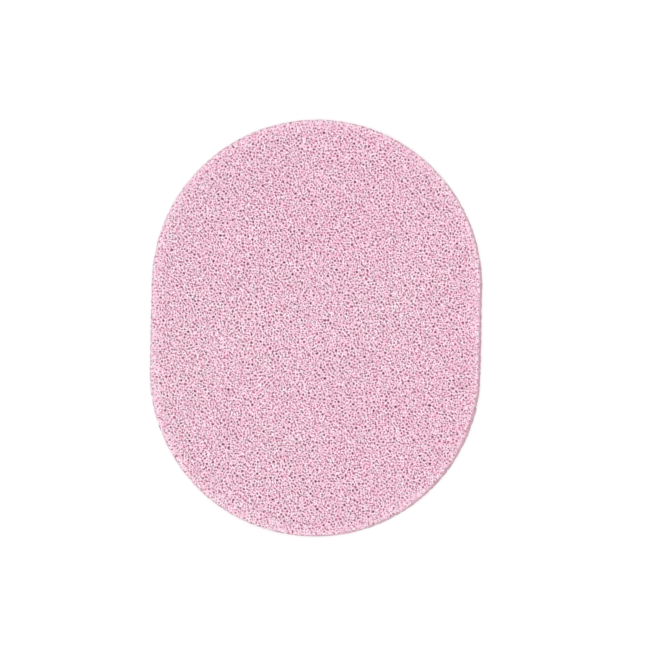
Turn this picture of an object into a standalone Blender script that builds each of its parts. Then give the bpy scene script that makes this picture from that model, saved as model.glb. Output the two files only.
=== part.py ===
"""Rounded-oval cleansing sponge: one soft pad of open-cell foam, cut from a sheet with a die.

The pad lies on its underside, centred on the origin, with its long side along Y and its
thickness along Z. Its outline is two half circles joined by two short straight sides, and each
straight side runs into its half circle without a corner. Both faces are alike: flat over the
middle, then falling away in a soft crown to a small rounded rim. Between the rims the cut wall
is drawn in, because the foam is squeezed under the die while it is cut and springs back after.

The pad is the same on both sides of three planes, so one eighth of it is modelled, and a
Mirror modifier makes the rest.
"""

import math

import bmesh
import bpy
from mathutils import Vector

# Driving sizes, in metres
PAD_WIDTH = 0.0670       # across the two straight sides, and so twice the end radius
SIDE_RUN = 0.0176        # straight stretch of each long side
PAD_THICKNESS = 0.0090   # between the two flat faces
CROWN_DROP = 0.0005      # how far a face has fallen where its rim begins
CROWN_REACH = 0.0130     # width of the ring over which the face falls
RIM_RADIUS = 0.0008      # rounding between each face and the wall, where the die parts the foam
WALL_DRAW_IN = 0.0004    # depth of the wall's dish at half height

# How finely the curves are divided
END_STEPS = 12           # a quarter turn of the outline's round end
CROWN_STEPS = 3
RIM_STEPS = 5
WALL_STEPS = 3           # from the rim down to half height

# Sizes that follow
END_RADIUS = PAD_WIDTH / 2
HALF_RUN = SIDE_RUN / 2
HALF_THICKNESS = PAD_THICKNESS / 2
MERGE_DISTANCE = RIM_RADIUS / 10000

# Pale pink foam, as linear red, green, blue and alpha
FOAM_COLOUR = (0.78, 0.50, 0.62, 1.0)
FOAM_ROUGHNESS = 0.95


def crown_points():
    """Face from the flat middle out to the start of the rim: a parabola, level at its inner end."""
    slope = math.atan2(2 * CROWN_DROP, CROWN_REACH)
    outer = END_RADIUS - RIM_RADIUS + RIM_RADIUS * math.sin(slope)
    points = []
    for step in range(CROWN_STEPS + 1):
        reach_share = step / CROWN_STEPS
        across = outer - CROWN_REACH * (1 - reach_share)
        points.append(Vector((across, 0, HALF_THICKNESS - CROWN_DROP * reach_share**2)))
    return points, slope


def rim_points(start, slope):
    """Rounded rim: an arc that leaves the crown at its slope and ends upright."""
    centre = start - Vector((math.sin(slope), 0, math.cos(slope))) * RIM_RADIUS
    points = []
    for step in range(1, RIM_STEPS + 1):
        angle = slope + (math.pi / 2 - slope) * step / RIM_STEPS
        points.append(centre + Vector((math.sin(angle), 0, math.cos(angle))) * RIM_RADIUS)
    return points


def wall_points(top):
    """Drawn-in wall from the rim down to half height, upright at both ends."""
    points = []
    for step in range(1, WALL_STEPS + 1):
        down_share = step / WALL_STEPS
        dish = WALL_DRAW_IN * (1 - math.cos(math.pi * down_share)) / 2
        points.append(Vector((top.x - dish, 0, top.z * (1 - down_share))))
    return points


def half_section():
    """Upper half of the pad's section, from the middle of the face out and down to half height."""
    crown, slope = crown_points()
    rim = rim_points(crown[-1], slope)
    return [Vector((0, 0, HALF_THICKNESS))] + crown + rim + wall_points(rim[-1])


def foam_material():
    material = bpy.data.materials.new("open_cell_foam")
    material.use_nodes = True
    shader = material.node_tree.nodes["Principled BSDF"]
    shader.inputs["Base Color"].default_value = FOAM_COLOUR
    shader.inputs["Roughness"].default_value = FOAM_ROUGHNESS
    shader.inputs["Metallic"].default_value = 0.0
    material.diffuse_color = FOAM_COLOUR
    return material


def pad_eighth():
    """The section turned through a quarter of the round end, then run straight to the middle."""
    shape = bmesh.new()
    chain = [shape.verts.new(point) for point in half_section()]
    edges = [shape.edges.new(pair) for pair in zip(chain, chain[1:])]
    end_centre = Vector((0, HALF_RUN, 0))
    bmesh.ops.translate(shape, verts=chain, vec=end_centre)
    bmesh.ops.spin(
        shape,
        geom=chain + edges,
        cent=end_centre,
        axis=(0, 0, 1),
        angle=math.pi / 2,
        steps=END_STEPS,
    )
    run = bmesh.ops.extrude_edge_only(shape, edges=edges)
    run_verts = [item for item in run["geom"] if isinstance(item, bmesh.types.BMVert)]
    bmesh.ops.translate(shape, verts=run_verts, vec=-end_centre)
    bmesh.ops.remove_doubles(shape, verts=shape.verts, dist=MERGE_DISTANCE)
    bmesh.ops.recalc_face_normals(shape, faces=shape.faces)
    mesh = bpy.data.meshes.new("foam_pad")
    shape.to_mesh(mesh)
    shape.free()
    return mesh


def make_foam_pad(collection):
    mesh = pad_eighth()
    mesh.shade_smooth()
    pad = bpy.data.objects.new("foam_pad", mesh)
    pad.data.materials.append(foam_material())
    pad.location = (0, 0, HALF_THICKNESS)
    mirror = pad.modifiers.new("other_seven_eighths", "MIRROR")
    mirror.use_axis = (True, True, True)
    mirror.merge_threshold = MERGE_DISTANCE
    collection.objects.link(pad)
    return pad


def main():
    for old in list(bpy.data.objects):
        bpy.data.objects.remove(old, do_unlink=True)
    collection = bpy.data.collections.new("cleansing_sponge")
    bpy.context.scene.collection.children.link(collection)
    make_foam_pad(collection)


main()
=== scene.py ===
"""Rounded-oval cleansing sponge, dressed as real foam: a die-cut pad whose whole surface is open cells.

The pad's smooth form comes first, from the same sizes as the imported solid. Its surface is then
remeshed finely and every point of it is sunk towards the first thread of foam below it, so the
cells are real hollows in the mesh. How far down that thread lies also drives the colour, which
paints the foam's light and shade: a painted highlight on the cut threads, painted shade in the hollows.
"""

import math

import bmesh
import bpy
import numpy as np
from mathutils import Euler, Matrix, Vector


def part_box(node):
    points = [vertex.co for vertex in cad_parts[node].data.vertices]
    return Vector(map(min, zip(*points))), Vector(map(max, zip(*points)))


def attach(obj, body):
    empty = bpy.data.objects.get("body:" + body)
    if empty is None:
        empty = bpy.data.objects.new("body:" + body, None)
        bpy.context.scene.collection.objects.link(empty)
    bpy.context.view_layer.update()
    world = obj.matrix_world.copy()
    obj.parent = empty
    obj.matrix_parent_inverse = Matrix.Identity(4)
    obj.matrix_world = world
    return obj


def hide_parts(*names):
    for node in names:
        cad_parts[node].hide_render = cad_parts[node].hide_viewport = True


bl_info = {
    "name": "Cleansing Sponge",
    "version": (1, 0, 0),
    "blender": (4, 5, 0),
    "location": "3D View > Sidebar > Sponge",
    "description": "Rounded-oval pad of open-cell foam, with a plain stage to show it on",
    "category": "Object",
}

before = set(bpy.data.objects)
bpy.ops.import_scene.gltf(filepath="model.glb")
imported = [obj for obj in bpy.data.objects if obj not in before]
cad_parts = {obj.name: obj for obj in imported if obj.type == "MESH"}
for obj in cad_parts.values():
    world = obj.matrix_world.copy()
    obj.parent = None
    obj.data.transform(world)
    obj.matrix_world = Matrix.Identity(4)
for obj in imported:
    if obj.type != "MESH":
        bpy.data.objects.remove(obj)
SOLID_LOW, SOLID_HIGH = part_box("foam_pad")
SOLID_SIZE = SOLID_HIGH - SOLID_LOW
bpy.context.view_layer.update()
MM = 0.001


def linear(hex_colour):
    """An sRGB hex colour as linear red, green, blue and alpha."""
    channels = [int(hex_colour[start:start + 2], 16) / 255 for start in (1, 3, 5)]
    return [c / 12.92 if c <= 0.04045 else ((c + 0.055) / 1.055) ** 2.4 for c in channels] + [1.0]


WHITE = linear("#FFFFFF")

# Sockets of a Mix node that mixes colours
MIX_SHARE, MIX_FIRST, MIX_SECOND, MIX_RESULT = 0, 6, 7, 2


def length(name, description, default):
    """A size in metres for a property group."""
    return bpy.props.FloatProperty(
        name=name, description=description, default=default,
        subtype="DISTANCE", unit="LENGTH", precision=5,
    )


def angle(name, description, degrees):
    """An angle for a property group."""
    return bpy.props.FloatProperty(
        name=name, description=description, default=math.radians(degrees),
        subtype="ANGLE", unit="ROTATION",
    )


def fraction(name, description, default, most=1.0):
    """A share of something, from none upwards, for a property group."""
    return bpy.props.FloatProperty(
        name=name, description=description, default=default, min=0.0, max=most, subtype="FACTOR",
    )


def colour(name, description, hex_colour):
    """A surface colour for a property group."""
    return bpy.props.FloatVectorProperty(
        name=name, description=description, default=linear(hex_colour),
        size=4, min=0.0, max=1.0, subtype="COLOR",
    )


class SpongePadSettings(bpy.types.PropertyGroup):
    width: length("Width", "Across the two straight sides", SOLID_SIZE.x)
    length: length("Length", "Over the two round ends", SOLID_SIZE.y)
    thickness: length("Thickness", "Between the two flat faces", SOLID_SIZE.z)
    crown_drop: length("Crown drop", "How far a face falls before its rim begins", 0.5 * MM)
    crown_reach: length("Crown reach", "Width of the ring over which a face falls", 13.0 * MM)
    rim_radius: length("Rim radius", "Rounding between each face and the wall", 0.8 * MM)
    wall_draw_in: length("Wall draw-in", "Depth of the wall's dish at half height", 0.4 * MM)
    spacing: length("Mesh spacing", "Distance between neighbouring points of the surface", 0.12 * MM)


class SpongeFoamSettings(bpy.types.PropertyGroup):
    cell_pitch: length("Cell pitch", "Cube edge that holds two cells of the foam", 0.76 * MM)
    size_spread: fraction("Size spread", "How far the cells' sizes stray from the mean", 0.30, 0.5)
    thread: fraction("Thread", "Thickness of the foam's threads, counted in cell pitches", 0.12, 0.5)
    cell_depth: length("Cell depth", "Deepest that the surface itself is sunk", 0.70 * MM)
    sight_depth: length("Sight depth", "Deepest that the eye sees between the threads", 1.60 * MM)
    rim_closing: fraction("Rim closing", "How much of their depth cells lose under the die", 0.22)
    rim_pinch: fraction("Rim pinch", "How much shallower the surface is sunk right at a rim", 0.60)
    crispness: fraction("Crispness", "How much a thread stands out from the cells beside it", 0.70)
    evenness: fraction("Evenness", "How much of the slow change from pale to dark is taken out", 0.90)
    seed: bpy.props.IntProperty(
        name="Seed", description="Which foam of this kind the pad is cut from", default=3, min=0,
    )
    # The colours by depth paint light and shade: a near-white painted highlight on the cut threads, and
    # painted shade down to the dark hollows
    thread_highlight_colour: colour("Threads", "Cut ends of the threads", "#FFF8FC")
    shallow_colour: colour("Shallow", "Threads just under the surface", "#FFF0F8")
    deep_shade_colour: colour("Deep", "Threads far down in a cell", "#FFD5E9")
    dim_colour: colour("Dim", "Threads farther down, where little light comes", "#C67697")
    hollow_shade_colour: colour("Hollow", "Bottom of the deepest cells", "#3A001A")
    broad_patch: length("Broad patches", "Size of the broad, faint patches of dye", 25.0 * MM)
    broad_dye: colour("Broad dye", "What a broad patch is multiplied by", "#FFFAFD")
    fine_patch: length("Fine patches", "Size of the small, stronger patches of dye", 1.7 * MM)
    fine_dye: colour("Fine dye", "What a small patch is multiplied by", "#FFEEF5")
    # Painted light at the rim, which is paler where light also comes in from the side
    rim_painted_light_share: fraction("Rim paling", "How much of the rim colour is mixed in at the rim", 0.09)
    rim_painted_light_colour: colour("Rim colour", "What the foam pales towards near its rim", "#F6F2F4")
    # Painted shade on the cut wall
    wall_painted_shade: colour("Wall dye", "What the cut wall is multiplied by", "#FAE4E7")


class SpongeStageSettings(bpy.types.PropertyGroup):
    camera_distance: length("Camera distance", "From the lens to the pad", 1.0)
    view_width: length("View width", "Width of the picture at the pad", 132.1 * MM)
    camera_tilt: angle("Camera tilt", "Lean of the view away from straight down", 5.6)
    camera_bearing: angle("Camera bearing", "Side that the camera leans to, counted from +X", -25.0)
    camera_roll: angle("Camera roll", "Turn of the picture about its centre", 1.15)
    aim_right: length("Aim right", "How far right of the pad's middle the camera looks", 1.79 * MM)
    aim_up: length("Aim up", "How far above the pad's middle the camera looks", 0.66 * MM)
    soft_box_size: length("Soft box size", "Edge of the square soft box", 0.7)
    soft_box_place: bpy.props.FloatVectorProperty(
        name="Soft box place", description="Where the soft box hangs",
        default=(0.10, -0.04, 1.3), subtype="TRANSLATION", unit="LENGTH",
    )
    soft_box_power: bpy.props.FloatProperty(
        name="Soft box power", description="Power of the soft box", default=10.2, min=0.0, unit="POWER",
    )
    room_light: bpy.props.FloatProperty(
        name="Room light", description="Strength of the room's even light", default=0.525, min=0.0,
    )
    floor_size: length("Floor size", "Edge of the square floor", 1.6)
    floor_colour: colour("Floor", "Matt white board", "#F4F4F4")
    floor_shade: colour("Floor shade", "The part of the shown board that takes shadows", "#CCCCCC")
    floor_lift: fraction("Floor lift", "White added to the shown board", 0.50)


def add_node(tree, kind, settings=None, links=None):
    """Adds a node with its settings. Each input named in links gets an output's link or a value."""
    node = tree.nodes.new(kind)
    for name, value in (settings or {}).items():
        setattr(node, name, value)
    for name, source in (links or {}).items():
        if isinstance(source, bpy.types.NodeSocket):
            tree.links.new(source, node.inputs[name])
        else:
            node.inputs[name].default_value = source
    return node


def crown_and_wall(pad):
    """Upper half of the pad's section: out over the crown, round the rim and down the drawn-in wall."""
    crown_steps, rim_steps, wall_steps = 12, 10, 8
    half_thickness = pad.thickness / 2
    slope = math.atan2(2 * pad.crown_drop, pad.crown_reach)
    outer = pad.width / 2 - pad.rim_radius * (1 - math.sin(slope))
    points = [Vector((0, 0, half_thickness))]
    for step in range(crown_steps + 1):
        share = step / crown_steps
        across = outer - pad.crown_reach * (1 - share)
        points.append(Vector((across, 0, half_thickness - pad.crown_drop * share**2)))
    centre = points[-1] - Vector((math.sin(slope), 0, math.cos(slope))) * pad.rim_radius
    for step in range(1, rim_steps + 1):
        turn = slope + (math.pi / 2 - slope) * step / rim_steps
        points.append(centre + Vector((math.sin(turn), 0, math.cos(turn))) * pad.rim_radius)
    rim_end = points[-1]
    for step in range(1, wall_steps + 1):
        share = step / wall_steps
        dish = pad.wall_draw_in * (1 - math.cos(math.pi * share)) / 2
        points.append(Vector((rim_end.x - dish, 0, rim_end.z * (1 - share))))
    return points


def smooth_pad(pad):
    """The pad without its cells: one eighth spun and run straight, mirrored three times."""
    end_steps = 60
    merge_distance = pad.spacing / 100
    end_centre = Vector((0, (pad.length - pad.width) / 2, 0))
    shape = bmesh.new()
    chain = [shape.verts.new(point + end_centre) for point in crown_and_wall(pad)]
    edges = [shape.edges.new(pair) for pair in zip(chain, chain[1:])]
    bmesh.ops.spin(
        shape, geom=chain + edges, cent=end_centre, axis=(0, 0, 1),
        angle=math.pi / 2, steps=end_steps, use_merge=False,
    )
    run = bmesh.ops.extrude_edge_only(shape, edges=edges)
    run_verts = [item for item in run["geom"] if isinstance(item, bmesh.types.BMVert)]
    bmesh.ops.translate(shape, verts=run_verts, vec=-end_centre)
    for axis in "XYZ":
        everything = shape.verts[:] + shape.edges[:] + shape.faces[:]
        bmesh.ops.mirror(shape, geom=everything, matrix=Matrix(), merge_dist=-1, axis=axis)
    bmesh.ops.remove_doubles(shape, verts=shape.verts, dist=merge_distance)
    bmesh.ops.translate(shape, verts=shape.verts, vec=(0, 0, pad.thickness / 2))
    bmesh.ops.recalc_face_normals(shape, faces=shape.faces)
    mesh = bpy.data.meshes.new("foam_surface")
    shape.to_mesh(mesh)
    shape.free()
    return mesh


def remesh(piece, spacing):
    """Gives the piece an even skin of small squares, for good."""
    modifier = piece.modifiers.new("even_skin", "REMESH")
    modifier.mode = "VOXEL"
    modifier.voxel_size = spacing
    modifier.adaptivity = 0.0
    modifier.use_smooth_shade = True
    graph = bpy.context.evaluated_depsgraph_get()
    smooth = piece.data
    piece.data = bpy.data.meshes.new_from_object(piece.evaluated_get(graph))
    piece.data.name = "foam_surface"
    piece.modifiers.clear()
    bpy.data.meshes.remove(smooth)


def blown_cells(cells, spread, seed):
    """Middles and sizes of the cells in a cube of foam that repeats, in units of one pitch.

    They start scattered round two interleaved cubic grids. Then they push apart like blown
    bubbles, round after round, each time by a share of the overlap. A size is given as how far it
    is over the mean.
    """
    mean_size, scatter = 0.95, 1.0
    rounds, give = 12, 0.175
    random = np.random.default_rng(seed)
    corners = np.stack(np.meshgrid(*[np.arange(cells)] * 3, indexing="ij"), -1).reshape(-1, 3)
    middles = np.concatenate([corners, corners + 0.5])
    middles = middles + random.uniform(-scatter, scatter, middles.shape)
    sizes = mean_size * random.uniform(1 - spread, 1 + spread, len(middles))
    reach = (sizes[:, None] + sizes[None]) / 2
    for _ in range(rounds):
        away = (middles[:, None] - middles[None]).astype(np.float32)
        away -= cells * np.round(away / cells)
        gap = np.sqrt((away**2).sum(-1))
        np.fill_diagonal(gap, cells)
        push = np.clip(reach - gap, 0, None) / gap
        middles = middles + give * (away * push[:, :, None]).sum(1)
    return middles, sizes - mean_size


def foam_block(cells, grain, foam):
    """A cube of foam that repeats without a seam, as one value for each grid step.

    Each cell's distance is counted from a shell half as far out as its size is over the mean. A
    thread runs wherever three cells are about equally near, so the value kept is the distance to
    the third nearest cell less the distance to the nearest, in units of one pitch. Each cell is
    counted only within its sway.
    """
    sway, nothing_near = 1.35, 9.0
    side = cells * grain
    farthest = math.ceil(sway * grain)
    first, second, third = (np.full((side,) * 3, nothing_near, np.float32) for _ in range(3))
    reach = np.arange(-farthest, farthest + 1)
    for middle, extra in zip(*blown_cells(cells, foam.size_spread, foam.seed)):
        nearest = np.floor(middle * grain).astype(int)
        away = [((nearest[k] + reach + 0.5) / grain - middle[k]) ** 2 for k in range(3)]
        squared = away[0][:, None, None] + away[1][None, :, None] + away[2][None, None, :]
        distance = (np.sqrt(squared) - extra / 2).astype(np.float32)
        window = np.ix_(*[(nearest[k] + reach) % side for k in range(3)])
        near, nearer_two, nearer_three = first[window], second[window], third[window]
        third[window] = np.minimum(nearer_three, np.maximum(nearer_two, distance))
        second[window] = np.minimum(nearer_two, np.maximum(near, distance))
        first[window] = np.minimum(near, distance)
    return third - first


def read_block(block, places):
    """The block's value at places given in grid steps, going round at its sides."""
    side = block.shape[0]
    low = np.floor(places).astype(np.int64)
    share = (places - low).astype(np.float32)
    low %= side
    high = (low + 1) % side
    total = np.zeros(len(places), np.float32)
    for corner in range(8):
        picked = [corner >> k & 1 for k in range(3)]
        index = [high[:, k] if picked[k] else low[:, k] for k in range(3)]
        weight = [share[:, k] if picked[k] else 1 - share[:, k] for k in range(3)]
        total += block[index[0], index[1], index[2]] * weight[0] * weight[1] * weight[2]
    return total


def depth_to_thread(points, normals, foam):
    """How far in from each point the first thread lies, in metres, at most the sight depth.

    The block is turned before the pad is cut from it, so its rows lie along no face of the pad.
    """
    cells, grain, steps = 10, 10, 34
    block_turn = Euler((0.5, 0.35, 0.7))
    block = foam_block(cells, grain, foam)
    turn = np.array(block_turn.to_matrix(), float)
    scale = grain / foam.cell_pitch
    start = points @ turn.T * scale
    inward = -normals @ turn.T * scale
    depth = np.full(len(points), foam.sight_depth)
    before = read_block(block, start)
    depth[before < foam.thread] = 0.0
    open_ones = np.flatnonzero(before >= foam.thread)
    before = before[open_ones]
    for step in range(1, steps + 1):
        now = read_block(block, start[open_ones] + inward[open_ones] * foam.sight_depth * step / steps)
        met = now < foam.thread
        past = (before[met] - foam.thread) / (before[met] - now[met])
        depth[open_ones[met]] = foam.sight_depth * (step - 1 + past) / steps
        open_ones, before = open_ones[~met], now[~met]
    return depth


def vectors_of(items, name):
    """One row of x, y and z for each vertex, normal or face."""
    values = np.zeros(len(items) * 3, np.float32)
    items.foreach_get(name, values)
    return values.reshape(-1, 3).astype(float)


def smooth_share(values, none, full):
    """0 at none, 1 at full, and a smooth turn between them."""
    share = np.clip((values - none) / (full - none), 0, 1)
    return share * share * (3 - 2 * share)


def mean_around(values, mesh, rounds):
    """Each point's value averaged with its neighbours', round after round."""
    ends = np.zeros(len(mesh.edges) * 2, np.int64)
    mesh.edges.foreach_get("vertices", ends)
    one, other = ends.reshape(-1, 2).T
    count = len(values)
    company = 1 + np.bincount(ends, minlength=count)
    for _ in range(rounds):
        gathered = np.bincount(one, values[other], count) + np.bincount(other, values[one], count)
        values = (values + gathered) / company
    return values


def keep_value(mesh, name, values):
    """Keeps one value for each point, under a name that the material reads."""
    layer = mesh.attributes.new(name, "FLOAT", "POINT")
    layer.data.foreach_set("value", values.astype(np.float32))


def lay_out_map(mesh, points, pad):
    """The bake map: both faces flat side by side, and the wall above them in two strips."""
    face_tilt = 0.7
    gap = 2.0 * MM
    half_run = (pad.length - pad.width) / 2
    whole = 2 * pad.width + 3 * gap
    corner_vertex = np.zeros(len(mesh.loops), np.int64)
    mesh.loops.foreach_get("vertex_index", corner_vertex)
    corner_count = np.zeros(len(mesh.polygons), np.int64)
    mesh.polygons.foreach_get("loop_total", corner_count)
    centres = vectors_of(mesh.polygons, "center")
    facing = vectors_of(mesh.polygons, "normal")
    upper, under, right_wall, left_wall = range(4)
    part = np.where(centres[:, 0] < 0, left_wall, right_wall)
    part[facing[:, 2] > face_tilt] = upper
    part[facing[:, 2] < -face_tilt] = under
    part = np.repeat(part, corner_count)
    x, y, z = points[corner_vertex].T
    past_run = np.abs(y) - half_run
    turned = np.arctan2(np.maximum(past_run, 0), np.where(part == left_wall, -x, x))
    around = np.where(past_run > 0, half_run + pad.width / 2 * turned, np.abs(y)) * np.sign(y)
    middle = whole / 2
    low = gap + pad.length / 2
    strip = 2 * gap + pad.length
    u = np.select(
        [part == upper, part == under, part == right_wall],
        [gap + pad.width / 2 + x, middle + gap / 2 + pad.width / 2 - x, middle + around],
        middle - around,
    )
    v = np.select(
        [part <= under, part == right_wall], [low + y, strip + z], strip + pad.thickness + gap + z,
    )
    layer = mesh.uv_layers.new(name="OFBake")
    layer.uv.foreach_set("vector", (np.stack([u, v], 1) / whole).astype(np.float32).ravel())


def cut_cells(piece, pad, foam):
    """Sinks each point of the skin towards the thread below it, and notes how far down that lies.

    The die squeezes the cells near the outline, and pinches them right at the two rims. So they
    are shallower there, and the rims stay whole.
    """
    mesh = piece.data
    points = vectors_of(mesh.vertices, "co")
    normals = vectors_of(mesh.vertex_normals, "vector")
    lay_out_map(mesh, points, pad)
    depth = depth_to_thread(points, normals, foam)

    past_run = np.clip(np.abs(points[:, 1]) - (pad.length - pad.width) / 2, 0, None)
    inset = pad.width / 2 - np.hypot(points[:, 0], past_run)
    free_inset, squeezed_inset = 3.0 * MM, 0.5 * MM
    near_rim = smooth_share(inset, free_inset, squeezed_inset)
    depth *= 1 - foam.rim_closing * near_rim

    off_middle = np.abs(points[:, 2] - pad.thickness / 2)
    loose_inset, pinched_inset = 1.0 * MM, 0.3 * MM
    loose_height, pinched_height = 2.0 * MM, 3.5 * MM
    pinched = smooth_share(inset, loose_inset, pinched_inset)
    pinched *= smooth_share(off_middle, loose_height, pinched_height)
    deepest = foam.cell_depth * (1 - foam.rim_pinch * pinched)
    moved = points - normals * np.minimum(depth, deepest)[:, None]
    moved[:, 2] = np.clip(moved[:, 2], 0.0, pad.thickness)
    mesh.vertices.foreach_set("co", moved.astype(np.float32).ravel())

    # The slow change from pale to dark is mostly taken out, then each thread is set off from its cells
    wide_rounds, close_rounds = 45, 2
    share = depth / foam.sight_depth
    share -= foam.evenness * (mean_around(share, mesh, wide_rounds) - share.mean())
    share += foam.crispness * (share - mean_around(share, mesh, close_rounds))
    # cell_depth drives the painted highlight and shade of the material, and also its roughness
    keep_value(mesh, "cell_depth", share)
    # near_rim also marks where the material paints light at the rim
    keep_value(mesh, "near_rim", near_rim)
    # cut_wall marks the wall, where the material paints shade
    face_tilt, wall_tilt = 0.75, 0.15
    keep_value(mesh, "cut_wall", smooth_share(np.abs(normals[:, 2]), face_tilt, wall_tilt))
    mesh.update()


def open_cell_polyurethane_foam(foam):
    """Soft polyurethane foam, blown open-celled, with its dye in the mix, and cut with a die.

    Light goes round among the threads and takes up the dye on its way, and the colour paints that
    light and shade in by depth. The cut ends of the threads carry a near-white painted highlight, each
    thread farther down is painted pinker and darker, and the bottom of a deep cell is painted shade of
    a dark raspberry. The dye isn't quite even, which shows as small paler and pinker patches. The
    cells are real hollows in the mesh, about 0.7 mm across, so the surface has no bump. A torn
    skin inside a cell is a little rougher than a cut end.
    """
    shallow_at, deep_at, dim_at = 0.20, 0.50, 0.74
    patch_low, patch_high = 0.3, 0.7
    cut_end_roughness, torn_skin_roughness = 0.82, 0.98
    shine = 0.2

    material = bpy.data.materials.new("open_cell_polyurethane_foam")
    material.use_nodes = True
    tree = material.node_tree
    tree.nodes.clear()
    # Painted highlight and shade: the ramp by depth is pale at the cut threads and dark in the hollows
    depth = add_node(tree, "ShaderNodeAttribute", {"attribute_name": "cell_depth"})
    by_depth = add_node(tree, "ShaderNodeValToRGB", links={"Fac": depth.outputs["Fac"]})
    stops = by_depth.color_ramp.elements
    stops[0].color = foam.thread_highlight_colour
    stops[1].color = foam.hollow_shade_colour
    stops.new(shallow_at).color = foam.shallow_colour
    stops.new(deep_at).color = foam.deep_shade_colour
    stops.new(dim_at).color = foam.dim_colour

    place = add_node(tree, "ShaderNodeTexCoord")
    dye_with_painted_light_and_shade = by_depth.outputs["Color"]
    for patch, dye in ((foam.broad_patch, foam.broad_dye), (foam.fine_patch, foam.fine_dye)):
        cloud = add_node(
            tree, "ShaderNodeTexNoise",
            links={"Vector": place.outputs["Object"], "Scale": 1 / patch},
        )
        patchy = add_node(
            tree, "ShaderNodeMapRange",
            links={"Value": cloud.outputs["Fac"], "From Min": patch_low, "From Max": patch_high},
        )
        taken = add_node(
            tree, "ShaderNodeMix", {"data_type": "RGBA"},
            {MIX_SHARE: patchy.outputs["Result"], MIX_FIRST: WHITE, MIX_SECOND: dye},
        )
        dye_with_painted_light_and_shade = add_node(
            tree, "ShaderNodeMix", {"data_type": "RGBA", "blend_type": "MULTIPLY"},
            {MIX_SHARE: 1.0, MIX_FIRST: dye_with_painted_light_and_shade, MIX_SECOND: taken.outputs[MIX_RESULT]},
        ).outputs[MIX_RESULT]

    # Painted light: near the rim, light also comes in from the side and takes up less dye before it
    # leaves, so the colour is mixed towards a paler one there
    rim = add_node(tree, "ShaderNodeAttribute", {"attribute_name": "near_rim"})
    paling = add_node(
        tree, "ShaderNodeMapRange",
        links={"Value": rim.outputs["Fac"], "To Max": foam.rim_painted_light_share},
    )
    dye_with_painted_light_and_shade = add_node(
        tree, "ShaderNodeMix", {"data_type": "RGBA"},
        {MIX_SHARE: paling.outputs["Result"], MIX_FIRST: dye_with_painted_light_and_shade, MIX_SECOND: foam.rim_painted_light_colour},
    ).outputs[MIX_RESULT]

    # Painted shade on the cut wall, which takes less of the light from above: the wall is multiplied
    # darker and a more saturated pink than the faces
    wall = add_node(tree, "ShaderNodeAttribute", {"attribute_name": "cut_wall"})
    dye_with_painted_light_and_shade = add_node(
        tree, "ShaderNodeMix", {"data_type": "RGBA", "blend_type": "MULTIPLY"},
        {MIX_SHARE: wall.outputs["Fac"], MIX_FIRST: dye_with_painted_light_and_shade, MIX_SECOND: foam.wall_painted_shade},
    ).outputs[MIX_RESULT]

    rough = add_node(
        tree, "ShaderNodeMapRange",
        links={
            "Value": depth.outputs["Fac"],
            "To Min": cut_end_roughness, "To Max": torn_skin_roughness,
        },
    )
    surface = add_node(
        tree, "ShaderNodeBsdfPrincipled",
        links={
            "Base Color": dye_with_painted_light_and_shade, "Roughness": rough.outputs["Result"], "Specular IOR Level": shine,
        },
    )
    add_node(tree, "ShaderNodeOutputMaterial", links={"Surface": surface.outputs["BSDF"]})
    return material


class SPONGE_OT_foam_pad(bpy.types.Operator):
    """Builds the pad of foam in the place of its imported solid"""

    bl_idname = "sponge.foam_pad"
    bl_label = "Foam pad"

    def execute(self, context):
        pad, foam = context.scene.sponge_pad, context.scene.sponge_foam
        piece = bpy.data.objects.new("cut_foam_pad", smooth_pad(pad))
        context.scene.collection.objects.link(piece)
        remesh(piece, pad.spacing)
        cut_cells(piece, pad, foam)
        piece.data.materials.clear()
        piece.data.materials.append(open_cell_polyurethane_foam(foam))
        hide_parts("foam_pad")
        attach(piece, "root")
        return {"FINISHED"}


def seen_or_mirrored(tree):
    """1 for a ray from the camera, or one that a glossy or clear surface sends on, and 0 for light."""
    path = add_node(tree, "ShaderNodeLightPath")
    seen = path.outputs["Is Camera Ray"]
    for ray in ("Is Glossy Ray", "Is Transmission Ray"):
        seen = add_node(
            tree, "ShaderNodeMath", {"operation": "MAXIMUM"}, {0: seen, 1: path.outputs[ray]},
        ).outputs["Value"]
    return seen


def matt_white_board(stage):
    """Painted board, matt all over, shown as a white ground that keeps its shadows."""
    material = bpy.data.materials.new("matt_white_board")
    material.use_nodes = True
    tree = material.node_tree
    tree.nodes.clear()
    board = add_node(tree, "ShaderNodeBsdfDiffuse", links={"Color": stage.floor_colour})
    shade = add_node(tree, "ShaderNodeBsdfDiffuse", links={"Color": stage.floor_shade})
    lift = add_node(tree, "ShaderNodeEmission", links={"Color": WHITE, "Strength": stage.floor_lift})
    shown = add_node(tree, "ShaderNodeAddShader", links={0: shade.outputs[0], 1: lift.outputs[0]})
    either = add_node(
        tree, "ShaderNodeMixShader",
        links={0: seen_or_mirrored(tree), 1: board.outputs[0], 2: shown.outputs[0]},
    )
    add_node(tree, "ShaderNodeOutputMaterial", links={"Surface": either.outputs["Shader"]})
    return material


def white_surroundings(scene, strength):
    """An even white room: it looks white, and it lights the pad softly from all sides."""
    world = bpy.data.worlds.new("white_room")
    world.use_nodes = True
    tree = world.node_tree
    tree.nodes.clear()
    level = add_node(
        tree, "ShaderNodeMapRange",
        links={"Value": seen_or_mirrored(tree), "To Min": strength, "To Max": 1.0},
    )
    light = add_node(
        tree, "ShaderNodeBackground", links={"Color": WHITE, "Strength": level.outputs["Result"]},
    )
    add_node(tree, "ShaderNodeOutputWorld", links={"Surface": light.outputs["Background"]})
    scene.world = world


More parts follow.
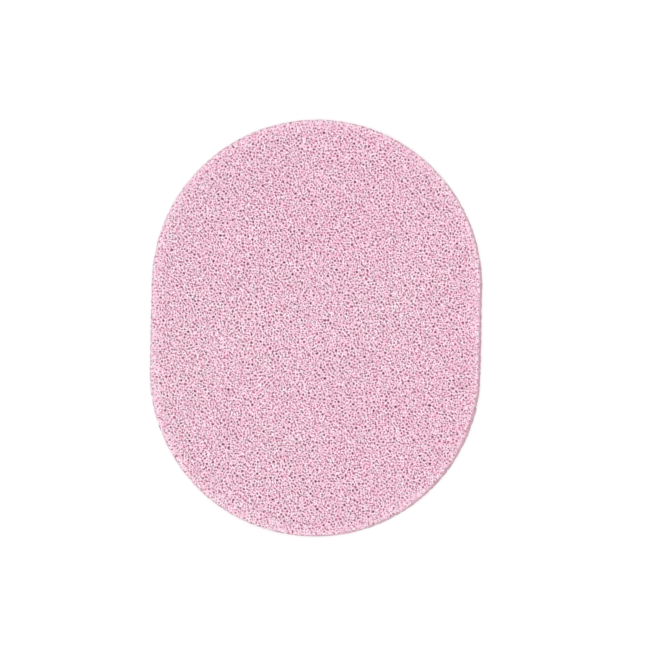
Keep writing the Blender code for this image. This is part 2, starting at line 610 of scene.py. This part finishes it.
def soft_box(scene, stage, target):
    """A square lamp behind cloth, pointed at the pad."""
    lamp = bpy.data.lights.new("soft_box", "AREA")
    lamp.shape = "SQUARE"
    lamp.size = stage.soft_box_size
    lamp.energy = stage.soft_box_power
    box = bpy.data.objects.new("soft_box", lamp)
    box.location = stage.soft_box_place
    box.rotation_euler = (target - box.location).to_track_quat("-Z", "Y").to_euler()
    scene.collection.objects.link(box)


def white_floor(scene, stage):
    """A square board under the pad, at height 0."""
    shape = bmesh.new()
    bmesh.ops.create_grid(shape, x_segments=1, y_segments=1, size=stage.floor_size / 2)
    mesh = bpy.data.meshes.new("floor")
    shape.to_mesh(mesh)
    shape.free()
    floor = bpy.data.objects.new("floor", mesh)
    floor.data.materials.append(matt_white_board(stage))
    scene.collection.objects.link(floor)


def camera_above(scene, stage, middle):
    """The camera nearly overhead, leaning a little to one side so that the wall shows there."""
    tilt, bearing, roll = stage.camera_tilt, stage.camera_bearing, stage.camera_roll
    outwards = Vector((math.cos(bearing), math.sin(bearing), 0))
    back = outwards * math.sin(tilt) + Vector((0, 0, math.cos(tilt)))
    right = Vector((-math.sin(roll), math.cos(roll), 0)).cross(back).normalized()
    up = back.cross(right)
    aim = middle + right * stage.aim_right + up * stage.aim_up
    nearest_shown, farthest_shown = 0.01, 20.0
    lens = bpy.data.cameras.new("camera")
    lens.lens = lens.sensor_width * stage.camera_distance / stage.view_width
    lens.clip_start, lens.clip_end = nearest_shown, farthest_shown
    camera = bpy.data.objects.new("camera", lens)
    turn = Matrix((right, up, back)).transposed().to_4x4()
    camera.matrix_world = Matrix.Translation(aim + back * stage.camera_distance) @ turn
    scene.collection.objects.link(camera)
    scene.camera = camera


class SPONGE_OT_stage(bpy.types.Operator):
    """Builds the white floor, the soft light and the camera"""

    bl_idname = "sponge.stage"
    bl_label = "Stage"

    def execute(self, context):
        scene, stage = context.scene, context.scene.sponge_stage
        middle = Vector((0, 0, SOLID_SIZE.z / 2))
        white_floor(scene, stage)
        white_surroundings(scene, stage.room_light)
        soft_box(scene, stage, middle)
        camera_above(scene, stage, middle)
        scene.view_settings.view_transform = "Standard"
        return {"FINISHED"}


class SPONGE_PT_sidebar(bpy.types.Panel):
    """Sizes and colours of the sponge and its stage"""

    bl_idname = "SPONGE_PT_sidebar"
    bl_label = "Cleansing sponge"
    bl_space_type = "VIEW_3D"
    bl_region_type = "UI"
    bl_category = "Sponge"

    def draw(self, context):
        scene = context.scene
        for operator, groups in (
            ("sponge.foam_pad", (scene.sponge_pad, scene.sponge_foam)),
            ("sponge.stage", (scene.sponge_stage,)),
        ):
            box = self.layout.box()
            for group in groups:
                for name in group.__annotations__:
                    box.prop(group, name)
            box.operator(operator)


SETTINGS = {
    "sponge_pad": SpongePadSettings,
    "sponge_foam": SpongeFoamSettings,
    "sponge_stage": SpongeStageSettings,
}
CLASSES = (*SETTINGS.values(), SPONGE_OT_foam_pad, SPONGE_OT_stage, SPONGE_PT_sidebar)


def register():
    for item in CLASSES:
        bpy.utils.register_class(item)
    for name, group in SETTINGS.items():
        setattr(bpy.types.Scene, name, bpy.props.PointerProperty(type=group))


def unregister():
    for name in SETTINGS:
        delattr(bpy.types.Scene, name)
    for item in reversed(CLASSES):
        bpy.utils.unregister_class(item)


def main():
    register()
    bpy.ops.sponge.foam_pad()
    bpy.ops.sponge.stage()


if __name__ == "__main__":
    main()
